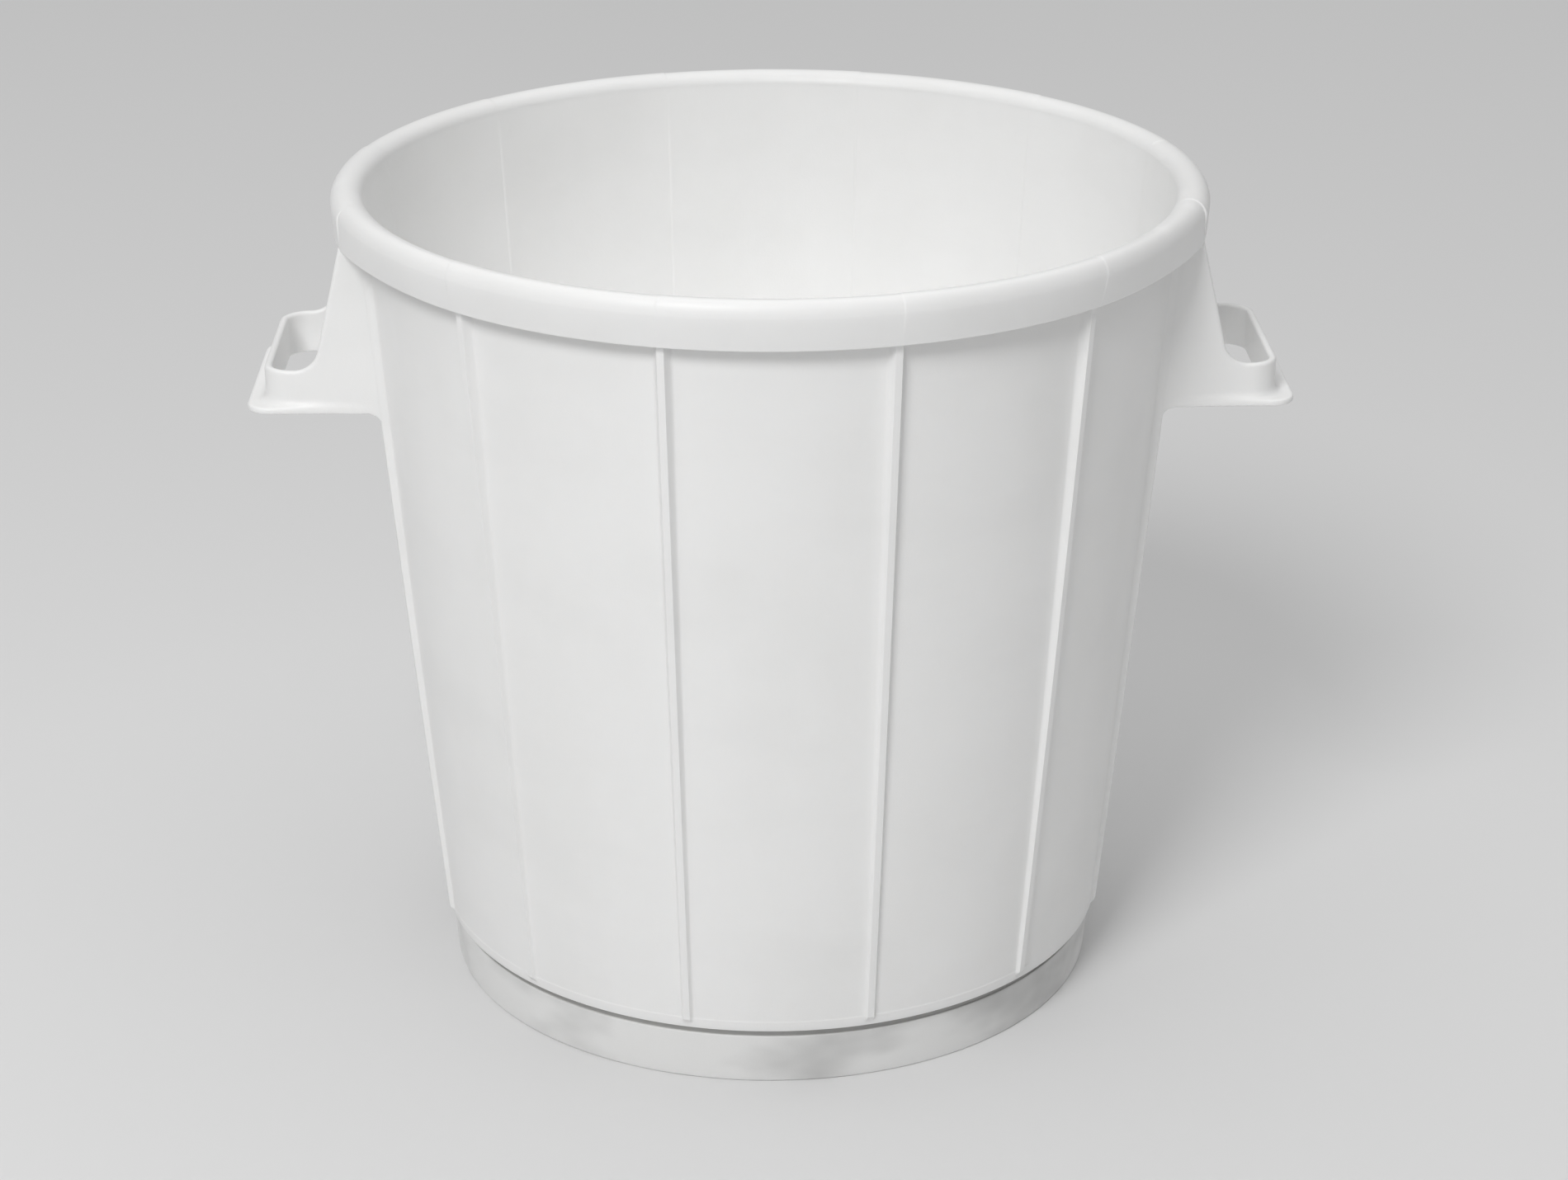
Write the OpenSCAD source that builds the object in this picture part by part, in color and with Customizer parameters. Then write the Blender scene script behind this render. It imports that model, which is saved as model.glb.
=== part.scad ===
// Round open-topped plastic tub with ribs, an overturned rim, a foot ring and two box-shaped loop handles.
// The origin is the centre of the foot's underside: +Z is up, the handles lie along X and the front faces -Y.

/* [Tub] */
// Height from the ground to the top of the rim
tub_h = 508; // [460:2:560]
// Outer radius of the wall at the level of the skirt's lower edge
wall_top_r = 245; // [238:1:254]
// Outer radius of the wall at its lower edge
wall_foot_r = 209.5; // [207:0.5:218]
// Thickness of the wall and of the floor
wall_t = 3.2; // [2.6:0.1:4]
// Radius of the corner between the wall and the floor, inside
floor_corner = 14; // [6:1:20]

/* [Ribs] */
// Width of a rib's crest
rib_crest_w = 4.2; // [3:0.2:6]
// Height of a rib above the wall at the skirt
rib_top_h = 6; // [4:0.5:6.5]
// Height of a rib above the wall at its foot
rib_foot_h = 2.6; // [1.6:0.2:3.4]
// Widening of each flank for a millimetre of depth
rib_flank = 0.45; // [0.2:0.05:0.7]

/* [Rim] */
// Height of the rim's skirt
skirt_h = 29; // [24:1:36]
// Distance from the wall to the outside of the skirt, at its lower edge
skirt_reach = 10; // [9:0.5:13]
// Thickness of the skirt
skirt_t = 2.6; // [2:0.2:3]
// Outward lean of the skirt over its height
skirt_lean = 7; // [5:0.5:8]
// How far the skirt stands out over each handle, at its lower edge
rim_bulge = 6.5; // [2:0.5:7]
// Thickness of the rim's top
rim_t = 4; // [3:0.5:6]
// Height of the rim's top above the edge of the wall
rim_seat_h = 8; // [7:0.5:10]

/* [Foot] */
// Height of the foot ring's smooth band
foot_h = 32; // [24:1:40]
// Height of the groove between the band and the wall
groove_h = 5; // [3:0.5:8]
// Outer radius of the band at its top
foot_r = 206; // [200:0.5:206]
// Thickness of the foot ring
foot_t = 5; // [4:0.5:8]

/* [Handles] */
// Distance from the wall's top radius to the outer face of the grip
grip_reach = 59; // [46:1:70]
// Half the distance over the two cheeks at the grip
cheek_half_w = 58.5; // [54:0.5:59]
// Thickness of the grip and of the cheeks
grip_t = 4.5; // [4:0.5:6]
// Height of the loop, from the lip's underside to the grip's top
loop_h = 26; // [20:1:32]
// Width of the lip round the loop's lower edge
lip_w = 10.5; // [6:0.5:14]
// Thickness of that lip
lip_t = 4; // [3:0.5:5]

/* [Hidden] */

tub_colour = [0.93, 0.93, 0.925];
foot_colour = [0.84, 0.84, 0.835];
round_fn = 180;
arc_steps = 6;
clear = 1;

// Twelve ribs stand half a step off the X and Y axes, so a pair flanks each handle
rib_count = 12;
rib_step = 360 / rib_count;
front_rib = rib_step / 2;

// Levels, from the ground up
wall_foot_z = foot_h + groove_h;
rib_foot_z = wall_foot_z + 7.5;
rib_end_slope_h = 4.2;
skirt_z = tub_h - skirt_h;
wall_top_z = tub_h - rim_seat_h;
loop_top_z = tub_h - 104;
loop_foot_z = loop_top_z - loop_h;

// Radii of the base: the wall turns in under itself as a flange that carries the floor
floor_r = wall_foot_r - 18;
foot_taper = 2;
groove_d = 1;
edge_r = 1.2;

// Rim section
skirt_r = wall_top_r + skirt_reach;
rim_r = skirt_r + skirt_lean;
rim_inner_r = wall_top_r - 0.6;
rim_edge_r = 7;
rim_inner_edge_r = 4;
rim_hollow_r = 5;
bulge_lean = 4.5;
bulge_angle = rib_step;

// Outer radius of the wall's cone at height z
function wall_r(z) = wall_foot_r + (wall_top_r - wall_foot_r) * (z - wall_foot_z) / (skirt_z - wall_foot_z);

// Distance of a rib's crest from the axis at height z
rib_foot_r = wall_r(rib_foot_z) + rib_foot_h;
rib_slope = (wall_top_r + rib_top_h - rib_foot_r) / (skirt_z - rib_foot_z);
function rib_crest_r(z) = rib_foot_r + rib_slope * (z - rib_foot_z);

// Inner radius of the skirt at height z, for an outward shift of its lower edge and its lean
function skirt_inner_r(z, shift, lean) = skirt_r + shift - skirt_t + lean * (z - skirt_z) / skirt_h;

// Handle plan and side
grip_x = wall_top_r + grip_reach;
cheek_root_x = 200;
cheek_toe_in = 7.2;
grip_corner_r = 16;
lip_corner_r = 14;
lip_side_w = 5.7;
lip_root_x = 246;
lip_root_half_w = cheek_half_w + 3.6;
gusset_top_x = skirt_r - 0.6;
gusset_foot_x = grip_x - 31;
gusset_fillet = 20;
armpit_x = rib_crest_r(loop_foot_z) * cos(front_rib);
armpit_r = 8;
armpit_drop = 11;

// Rounds the corner p between its neighbours a and b to radius r
function turned(v, angle) = [v.x * cos(angle) - v.y * sin(angle), v.x * sin(angle) + v.y * cos(angle)];
function rounded_corner(a, p, b, r) =
    let (u = (a - p) / norm(a - p))
    let (w = (b - p) / norm(b - p))
    let (half = acos(u * w) / 2)
    let (centre = p + (u + w) / norm(u + w) * r / sin(half))
    let (start = p + u * r / tan(half) - centre)
    let (turn = sign(w.x * u.y - w.y * u.x) * (180 - 2 * half))
    [for (i = [0:arc_steps]) centre + turned(start, turn * i / arc_steps)];

// An outline from corners given as [x, y, radius]
function flat(c) = [c.x, c.y];
function rounded(corners) =
    let (n = len(corners))
    [for (i = [0:n - 1])
        each corners[i][2] == 0
            ? [flat(corners[i])]
            : rounded_corner(flat(corners[(i + n - 1) % n]), flat(corners[i]), flat(corners[(i + 1) % n]),
                corners[i][2])];

// One rib at an angle from the front, a tilted prism with a sloping lower end
module rib(angle) {
    depth = 14;
    tilt = atan(rib_slope);
    base_half_w = rib_crest_w / 2 + depth * rib_flank;
    rotate([0, 0, angle])
        difference() {
            intersection() {
                translate([0, -rib_foot_r, rib_foot_z])
                    rotate([tilt, 0, 0])
                        translate([0, 0, -depth])
                            linear_extrude(tub_h)
                                polygon([[-rib_crest_w / 2, 0], [rib_crest_w / 2, 0],
                                    [base_half_w, depth], [-base_half_w, depth]]);
                translate([-depth, -rim_r, rib_foot_z - rib_end_slope_h])
                    cube([2 * depth, rim_r, tub_h]);
            }
            translate([-depth, -rib_foot_r, rib_foot_z])
                rotate([-atan(rib_end_slope_h / rib_foot_h), 0, 0])
                    translate([0, -depth, -2 * depth])
                        cube([2 * depth, 2 * depth, 2 * depth]);
        }
}

// The tapered wall as a solid carried past the rim, with the ribs at the given angles
module wall_solid(angles) {
    rotate_extrude($fn = round_fn)
        polygon(rounded([[0, wall_foot_z, 0], [wall_foot_r, wall_foot_z, edge_r], [wall_r(tub_h), tub_h, 0],
            [0, tub_h, 0]]));
    for (angle = angles)
        rib(angle);
}

// Everything inside the wall, with the bore for the floor
module wall_cavity() {
    floor_top_z = wall_foot_z + wall_t;
    over_z = 2 * tub_h;
    rotate_extrude($fn = round_fn)
        polygon(rounded([[0, wall_foot_z - clear, 0], [floor_r, wall_foot_z - clear, 0], [floor_r, floor_top_z, 0],
            [wall_r(floor_top_z) - wall_t, floor_top_z, floor_corner], [wall_r(over_z) - wall_t, over_z, 0],
            [0, over_z, 0]]));
}

module wall_shell() {
    color(tub_colour)
        difference() {
            wall_solid([for (i = [0:rib_count - 1]) front_rib + i * rib_step]);
            wall_cavity();
            translate([0, 0, wall_top_z])
                cylinder(r = 2 * rim_r, h = tub_h, $fn = round_fn);
        }
}

module floor_plate() {
    color(tub_colour)
        translate([0, 0, wall_foot_z])
            cylinder(r = floor_r, h = wall_t, $fn = round_fn);
}

module foot_ring() {
    groove_r = foot_r - groove_d;
    color(foot_colour)
        rotate_extrude($fn = round_fn)
            polygon(rounded([[foot_r - foot_taper - foot_t, 0, edge_r], [foot_r - foot_taper, 0, edge_r],
                [foot_r, foot_h, groove_d / 2], [groove_r, foot_h, 0], [groove_r, wall_foot_z, 0],
                [groove_r - foot_t, wall_foot_z, 0]]));
}

// Section of the rim: a crowned top seated on the wall's edge, and a hollow behind the skirt
module rim_section(shift, lean) {
    hollow_z = tub_h - rim_t;
    polygon(rounded([[skirt_r + shift - skirt_t, skirt_z, 0], [skirt_r + shift, skirt_z, edge_r],
        [skirt_r + shift + lean, tub_h, rim_edge_r], [rim_inner_r, tub_h, rim_inner_edge_r],
        [wall_r(wall_top_z) - wall_t, wall_top_z, 0], [wall_r(wall_top_z), wall_top_z, 0],
        [wall_r(wall_top_z), hollow_z, edge_r], [skirt_inner_r(hollow_z, shift, lean), hollow_z, rim_hollow_r]]));
}

module rim_ring(shift, lean) {
    rotate_extrude($fn = round_fn)
        rim_section(shift, lean);
}

// The sector in which the rim stands out over the handle on one side
module bulge_sector(side) {
    reach = 2 * rim_r;
    half_w = reach * tan(bulge_angle / 2);
    rotate([0, 0, side])
        translate([0, 0, skirt_z - clear])
            linear_extrude(tub_h)
                polygon([[0, 0], [reach, -half_w], [reach, half_w]]);
}

module rim_collar() {
    sides = [0, 180];
    color(tub_colour) {
        difference() {
            rim_ring(0, skirt_lean);
            for (side = sides)
                bulge_sector(side);
        }
        for (side = sides)
            intersection() {
                rim_ring(rim_bulge, bulge_lean);
                bulge_sector(side);
            }
    }
}

// Plan of the loop, set in from its outer faces by inset
module loop_plan(inset) {
    root_half_w = cheek_half_w + cheek_toe_in - inset;
    end_half_w = cheek_half_w - inset;
    corner_r = grip_corner_r - inset;
    polygon(rounded([[cheek_root_x - inset, -root_half_w, 0], [grip_x - inset, -end_half_w, corner_r],
        [grip_x - inset, end_half_w, corner_r], [cheek_root_x - inset, root_half_w, 0]]));
}

// Side view of a cheek: the loop's depth, the gusset up to the rim and the rounded armpit on the rib
module cheek_side() {
    past_grip_x = grip_x + lip_w;
    polygon(rounded([[past_grip_x, loop_foot_z, 0], [past_grip_x, loop_top_z, 0],
        [gusset_foot_x, loop_top_z, gusset_fillet], [gusset_top_x, skirt_z, 0], [gusset_top_x, wall_top_z, 0],
        [cheek_root_x, wall_top_z, 0], [cheek_root_x, loop_foot_z - armpit_drop, 0],
        [armpit_x - 2, loop_foot_z - armpit_drop, 0], [armpit_x, loop_foot_z, armpit_r]]));
}

// The flat lip round the foot of the loop
module lip_plan() {
    half_w = cheek_half_w + lip_side_w;
    x = grip_x + lip_w;
    polygon(rounded([[lip_root_x, -lip_root_half_w, 0], [x, -half_w, lip_corner_r], [x, half_w, lip_corner_r],
        [lip_root_x, lip_root_half_w, 0]]));
}

// The handle on +X, cut to sit on the wall, on its two ribs and inside the skirt
module handle() {
    difference() {
        union() {
            intersection() {
                translate([0, 0, loop_foot_z - armpit_drop])
                    linear_extrude(wall_top_z - loop_foot_z + armpit_drop)
                        loop_plan(0);
                rotate([90, 0, 0])
                    translate([0, 0, -wall_foot_r])
                        linear_extrude(2 * wall_foot_r)
                            cheek_side();
            }
            translate([0, 0, loop_foot_z])
                linear_extrude(lip_t)
                    lip_plan();
        }
        translate([0, 0, loop_foot_z - armpit_drop - clear])
            linear_extrude(tub_h)
                loop_plan(grip_t);
        wall_solid([90 - front_rib, 90 + front_rib]);
        rotate_extrude($fn = round_fn)
            polygon([[skirt_inner_r(skirt_z, rim_bulge, bulge_lean), skirt_z], [grip_x, skirt_z], [grip_x, tub_h],
                [skirt_inner_r(tub_h, rim_bulge, bulge_lean), tub_h]]);
    }
}

module handle_left() {
    color(tub_colour)
        mirror([1, 0, 0])
            handle();
}

module handle_right() {
    color(tub_colour)
        handle();
}

wall_shell();
floor_plate();
foot_ring();
rim_collar();
handle_left();
handle_right();
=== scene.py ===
import math

import bpy
import numpy as np
from bpy.props import FloatProperty, FloatVectorProperty, IntProperty, PointerProperty
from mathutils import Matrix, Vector


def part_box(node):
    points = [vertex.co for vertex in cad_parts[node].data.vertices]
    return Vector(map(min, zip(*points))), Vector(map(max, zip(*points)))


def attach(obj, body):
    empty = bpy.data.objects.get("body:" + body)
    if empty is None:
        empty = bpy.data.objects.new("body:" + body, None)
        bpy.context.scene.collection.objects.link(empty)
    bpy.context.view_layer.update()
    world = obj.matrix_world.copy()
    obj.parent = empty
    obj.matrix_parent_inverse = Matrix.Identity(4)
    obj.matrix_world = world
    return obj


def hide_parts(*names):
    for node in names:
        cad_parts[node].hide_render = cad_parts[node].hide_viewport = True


bl_info = {
    "name": "Ribbed Round Tub",
    "version": (1, 0, 0),
    "blender": (4, 5, 0),
    "location": "3D View > Sidebar > Tub",
    "description": "Moulded surfaces for an open round tub with ribs, a rolled rim, a foot band "
                   "and two loop handles",
    "category": "Add Mesh",
}

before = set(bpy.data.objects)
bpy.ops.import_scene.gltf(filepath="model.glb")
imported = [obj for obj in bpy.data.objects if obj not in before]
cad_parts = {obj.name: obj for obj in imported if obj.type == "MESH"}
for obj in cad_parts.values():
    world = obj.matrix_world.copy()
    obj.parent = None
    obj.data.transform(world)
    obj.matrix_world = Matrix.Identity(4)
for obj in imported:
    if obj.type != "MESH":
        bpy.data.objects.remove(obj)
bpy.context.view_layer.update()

WALL_LOW, WALL_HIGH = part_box("wall_shell")
RIM_LOW, RIM_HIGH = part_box("rim_collar")
FOOT_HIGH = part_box("foot_ring")[1]
FLOOR_LOW, FLOOR_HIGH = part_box("floor_plate")
HANDLE_LOW, HANDLE_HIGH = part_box("handle_right")

MM = 0.001
LOOP_FOOT = HANDLE_LOW.z + 11 * MM
BODY = "root"
SHARP_DEGREES = 38
WELD_DISTANCE = 0.002 * MM


# ---------------------------------------------------------------- sizes and colours

def length(name, description, default):
    return FloatProperty(name=name, description=description, default=default, min=0.0,
                         unit="LENGTH", subtype="DISTANCE", precision=4)


def angle(name, description, degrees):
    return FloatProperty(name=name, description=description, default=math.radians(degrees),
                         unit="ROTATION", subtype="ANGLE")


def share(name, description, default):
    return FloatProperty(name=name, description=description, default=default, min=0.0, max=1.0,
                         subtype="FACTOR")


def colour(name, description, default):
    return FloatVectorProperty(name=name, description=description, default=default, min=0.0, max=1.0,
                               size=3, subtype="COLOR")


class TubWallSettings(bpy.types.PropertyGroup):
    """Sizes of the wall, its ribs and the floor inside it"""
    top_radius: length("Top radius", "Outer radius of the wall at the rim's lower edge", 245 * MM)
    foot_radius: length("Foot radius", "Outer radius of the wall at its lower edge", 209.5 * MM)
    thickness: length("Thickness", "Thickness of the wall and of the floor", 3.2 * MM)
    bow: length("Bow", "How far the wall swells outwards at half height", 0.9 * MM)
    floor_corner: length("Floor corner", "Radius between the wall and the floor, inside", 14 * MM)
    band_height: length("Base band", "Height of the plain band under the ribs", 7 * MM)
    band_step: length("Band step", "How far the base band stands out from the wall", 0.22 * MM)
    rib_count: IntProperty(name="Ribs", description="Number of ribs around the wall", default=12, min=3)
    rib_crest: length("Rib crest", "Width of a rib's crest", 4.2 * MM)
    rib_top_height: length("Rib height, top", "Height of a rib at the rim", 6 * MM)
    rib_foot_height: length("Rib height, foot", "Height of a rib at its lower end", 2.6 * MM)
    rib_flank: share("Rib flank", "Widening of each flank for a unit of depth", 0.58)
    rib_fillet: FloatProperty(name="Rib fillet", description="Reach of the soft fillet, for a unit of height",
                              default=1.7, min=0.1)
    rib_softness: share("Rib softness", "Share of a rib's height that belongs to the soft fillet", 0.28)
    rib_end: length("Rib end", "Height of the sloping face at a rib's lower end", 3.4 * MM)
    joint_step: length("Joint step", "Height of the faint mould line behind each rib, inside", 0.22 * MM)


class TubRimSettings(bpy.types.PropertyGroup):
    """Sizes of the rolled rim"""
    skirt_radius: length("Skirt radius", "Outer radius of the skirt at its lower edge", 255 * MM)
    shoulder_radius: length("Shoulder radius", "Outer radius of the rim at its widest", 259.3 * MM)
    crown_radius: length("Crown radius", "Radius at which the rim is highest", 253 * MM)
    shoulder_drop: length("Shoulder drop", "Height of the crown above the widest level", 10 * MM)
    skirt_thickness: length("Skirt thickness", "Thickness of the skirt", 2.6 * MM)
    edge_radius: length("Edge radius", "Rounding of the skirt's lower edge", 0.8 * MM)
    flare_low: length("Flare, low", "How far the skirt's lower edge stands out at the handles", 7 * MM)
    flare_high: length("Flare, high", "How far the shoulder stands out at the handles", 2.9 * MM)
    flare_lift: length("Flare lift", "How far the skirt's lower edge rises at the handles", 1.8 * MM)
    flare_step: length("Flare step", "Step in the rim at each end of a handle's stretch", 0.9 * MM)
    flare_reach: angle("Flare reach", "Angle over which the rim swells towards a handle", 24)
    joint_step: length("Joint step", "Height of the faint mould line across the rim at each rib", 0.14 * MM)


class TubFootSettings(bpy.types.PropertyGroup):
    """Sizes of the foot band and the groove above it"""
    top_radius: length("Top radius", "Outer radius of the band at its top", 206 * MM)
    taper: length("Taper", "How much narrower the band is at the ground", 2 * MM)
    band_height: length("Height", "Height of the band", 32 * MM)
    groove_depth: length("Groove depth", "Depth of the groove behind the band's top edge", 1 * MM)
    thickness: length("Thickness", "Thickness of the foot", 5 * MM)
    edge_radius: length("Edge radius", "Rounding of the band's edges", 1.2 * MM)


class TubHandleSettings(bpy.types.PropertyGroup):
    """Sizes of the loop handles"""
    grip_reach: length("Grip reach", "Distance from the tub's axis to the outer face of the grip", 304 * MM)
    half_width: length("Half width", "Half the distance over the cheeks at the grip's foot", 58.1 * MM)
    toe: share("Toe", "Widening of the loop towards the wall, for a unit of reach", 0.094)
    draft: share("Draft", "Widening of the loop upwards, for a unit of height", 0.03)
    thickness: length("Thickness", "Thickness of the grip and the cheeks", 4.6 * MM)
    corner_radius: length("Corner radius", "Radius of the loop's outer corners", 16 * MM)
    loop_height: length("Loop height", "Height of the loop", 26 * MM)
    top_edge: length("Top edge", "Rounding of the loop's upper edges", 1.9 * MM)
    foot_edge: length("Foot edge", "Rounding of the handle's lower edges", 1.0 * MM)
    gusset_top: length("Gusset top", "Distance from the axis to the gusset's edge at the rim", 255 * MM)
    gusset_foot: length("Gusset foot", "Distance from the axis to the gusset's edge at the loop", 273 * MM)
    gusset_fillet: length("Gusset fillet", "Radius between the gusset's edge and the loop", 12 * MM)
    armpit_fillet: length("Armpit fillet", "Radius between the handle's underside and the rib", 8 * MM)
    lip_half_width: length("Lip half width", "Half the width over the lip at its outer corners", 64.2 * MM)
    lip_taper: share("Lip taper", "Narrowing of the lip towards the wall, for a unit of reach", 0.044)
    lip_corner: length("Lip corner", "Radius of the lip's corners", 15 * MM)
    lip_thickness: length("Lip thickness", "Thickness of the lip round the loop's foot", 4 * MM)
    lip_fillet: length("Lip fillet", "Radius between the loop's outer face and the lip", 5 * MM)
    grain: length("Grain", "Spacing of the points that the surface is built from", 0.8 * MM)


class TubFinishSettings(bpy.types.PropertyGroup):
    """Colours and finish of the plastic"""
    plastic: colour("Plastic", "Colour of the clean moulded plastic", (0.91, 0.91, 0.905))
    plastic_dull: colour("Dull plastic", "Colour of the plastic where it has dulled", (0.87, 0.87, 0.862))
    # Darker than the clean plastic: partly scuffing, partly painted shade, since the foot band sits in shadow
    # by the floor.
    shaded_foot_plastic: colour("Foot plastic", "Colour of the foot band between its smudges", (0.84, 0.84, 0.832))
    # Dark blotches: faint on the clean plastic, heavy on the foot band, where they are partly painted shade.
    blotch: colour("Blotches", "Colour of the smudges on the foot band", (0.50, 0.50, 0.495))
    # Painted shade: the groove above the foot band, under the wall's overhang, is darkened in its colour, by
    # this colour and this share.
    painted_shade: colour("Painted shade", "Colour of the painted shade held in the groove", (0.30, 0.295, 0.285))
    painted_shade_share: share("Grime share", "How much of the groove's colour is painted shade", 0.75)
    roughness: share("Roughness", "Roughness of the moulded surface", 0.42)
    scuff_roughness: share("Scuff roughness", "Roughness where the surface is scuffed", 0.62)
    translucency: share("Translucency", "How much light passes under the surface", 0.12)


class TubStageSettings(bpy.types.PropertyGroup):
    """The camera, the floor and the lights"""
    distance: length("Camera distance", "Distance from the camera to the point it looks at", 2.1865)
    aim_height: length("Aim height", "Height of the point that the camera looks at", 0.2358)
    pitch: angle("Pitch", "How far the camera looks down", 22.45)
    turn: angle("Turn", "Turn of the camera round the tub", -1.21)
    pan: angle("Pan", "Turn of the camera in place", 0.2177)
    lens: FloatProperty(name="Lens", description="Focal length", default=79.58, min=1.0, unit="CAMERA")
    floor_colour: colour("Floor", "Colour of the studio floor", (0.74, 0.74, 0.74))
    key_power: FloatProperty(name="Key light", description="Power of the main light",
                             default=140.0, unit="POWER")
    top_strength: FloatProperty(name="Top light", description="Strength of the broad light overhead",
                                default=1.1)
    inside_power: FloatProperty(name="Inside light", default=18.0, unit="POWER",
                                description="Power of the light that shines into the tub")
    world_strength: FloatProperty(name="Ambient", description="Strength of the light all round",
                                  default=0.25)


SETTINGS = {
    "tub_wall": TubWallSettings,
    "tub_rim": TubRimSettings,
    "tub_foot": TubFootSettings,
    "tub_handle": TubHandleSettings,
    "tub_finish": TubFinishSettings,
    "tub_stage": TubStageSettings,
}


# ---------------------------------------------------------------- meshes

def round_the_axis(radius, turn, height):
    """Points at a radius and a turn from the front (-Y), anticlockwise seen from above."""
    return np.stack(np.broadcast_arrays(radius * np.sin(turn), -radius * np.cos(turn), height), axis=-1)


def sheet_of_quads(points, join_turns):
    """Vertices and faces of a closed section (second axis) carried along turns (first axis)."""
    turns, around = points.shape[:2]
    index = np.arange(turns * around).reshape(turns, around)
    steps = turns if join_turns else turns - 1
    here = index[np.arange(steps)]
    there = index[(np.arange(steps) + 1) % turns]
    faces = np.stack([here, there, np.roll(there, -1, axis=1), np.roll(here, -1, axis=1)], axis=-1)
    return points.reshape(-1, 3), faces.reshape(-1, 4)


def new_mesh(name, vertices, faces):
    mesh = bpy.data.meshes.new(name)
    mesh.from_pydata([tuple(v) for v in vertices], [], [tuple(int(i) for i in f) for f in faces])
    mesh.validate()
    return mesh


def new_object(name, mesh):
    made = bpy.data.objects.new(name, mesh)
    bpy.context.scene.collection.objects.link(made)
    return made


def smooth_below_sharp(mesh):
    """Shades smoothly, with an edge kept wherever two faces turn by more than the sharp angle."""
    mesh.polygons.foreach_set("use_smooth", [True] * len(mesh.polygons))
    mesh.set_sharp_from_angle(angle=math.radians(SHARP_DEGREES))
    mesh.update()


def hand_over(piece, material, node):
    """Gives a finished piece its material and its place on the frame."""
    piece.data.materials.clear()
    piece.data.materials.append(material)
    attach(piece, BODY)
    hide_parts(node)


def arc(centre_r, centre_z, reach_r, reach_z, start, end, steps):
    """Points of a round or oval corner in the section plane; angles in degrees from straight outwards."""
    turn = np.radians(np.linspace(start, end, steps))
    return [(centre_r + reach_r * math.cos(t), centre_z + reach_z * math.sin(t)) for t in turn]


def wall_radius(wall, z):
    """Outer radius of the wall's gently bowed cone."""
    low, high = WALL_LOW.z, RIM_LOW.z
    t = (z - low) / (high - low)
    bowed = np.clip(t, 0.0, 1.0)
    return wall.foot_radius + (wall.top_radius - wall.foot_radius) * t + 4 * wall.bow * bowed * (1 - bowed)


def rib_crest_radius(wall, z):
    """Distance of a rib's crest from the axis."""
    low = WALL_LOW.z + wall.band_height
    height = np.interp(z, [low, RIM_LOW.z], [wall.rib_foot_height, wall.rib_top_height])
    return wall_radius(wall, z) + height


def fading_step(turn, spacing, half_step, sharpness):
    """A small step at every multiple of spacing that has faded away half-way to the next one."""
    off = (turn + spacing / 2) % spacing - spacing / 2
    fade = 1 - np.abs(off) / (spacing / 2)
    return half_step * np.clip(off / sharpness, -1, 1) * fade


# ---------------------------------------------------------------- node trees

class Field:
    """A number that varies through space, as a socket of a node tree, with ordinary arithmetic."""

    def __init__(self, tree, socket):
        self.tree = tree
        self.socket = socket

    def math(self, operation, *others):
        node = self.tree.nodes.new("ShaderNodeMath")
        node.operation = operation
        for place, value in zip(node.inputs, (self, *others)):
            if isinstance(value, Field):
                self.tree.links.new(value.socket, place)
            else:
                place.default_value = value
        return Field(self.tree, node.outputs[0])

    def __add__(self, other):
        return self.math("ADD", other)

    def __sub__(self, other):
        return self.math("SUBTRACT", other)

    def __mul__(self, other):
        return self.math("MULTIPLY", other)

    def __truediv__(self, other):
        return self.math("DIVIDE", other)

    def __neg__(self):
        return self * -1.0

    def least(self, other):
        return self.math("MINIMUM", other)

    def most(self, other):
        return self.math("MAXIMUM", other)

    def size(self):
        return self.math("ABSOLUTE")

    def root(self):
        return self.math("SQRT")


def hypotenuse(a, b):
    return (a * a + b * b).root()


def either(a, b, fillet):
    """The union of two solids, with a round fillet (a number or a field) in the corner between them."""
    near_a = (-a + fillet).most(0.0)
    near_b = (-b + fillet).most(0.0)
    return a.least(b).most(fillet) - hypotenuse(near_a, near_b)


def both(a, b, rounding):
    """What two solids share, with the edge between them rounded."""
    past_a = (a + rounding).most(0.0)
    past_b = (b + rounding).most(0.0)
    return a.most(b).least(-rounding) + hypotenuse(past_a, past_b)


def new_tree(name, inputs):
    """A geometry node tree with named inputs, and its input and output nodes."""
    tree = bpy.data.node_groups.new(name, "GeometryNodeTree")
    for label, kind in inputs:
        tree.interface.new_socket(label, in_out="INPUT", socket_type=kind)
    tree.interface.new_socket("Geometry", in_out="OUTPUT", socket_type="NodeSocketGeometry")
    return tree, tree.nodes.new("NodeGroupInput"), tree.nodes.new("NodeGroupOutput")


def finish_tree(tree, given, result, geometry):
    """Ends a tree in real geometry with its material set."""
    realised = tree.nodes.new("GeometryNodeRealizeInstances")
    smooth = tree.nodes.new("GeometryNodeSetShadeSmooth")
    painted = tree.nodes.new("GeometryNodeSetMaterial")
    tree.links.new(geometry, realised.inputs["Geometry"])
    merged = tree.nodes.new("GeometryNodeMergeByDistance")
    merged.inputs["Distance"].default_value = WELD_DISTANCE
    tree.links.new(realised.outputs["Geometry"], merged.inputs["Geometry"])
    tree.links.new(merged.outputs["Geometry"], smooth.inputs["Geometry"])
    tree.links.new(smooth.outputs["Geometry"], painted.inputs["Geometry"])
    tree.links.new(given.outputs["Material"], painted.inputs["Material"])
    tree.links.new(painted.outputs["Geometry"], result.inputs["Geometry"])


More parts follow.
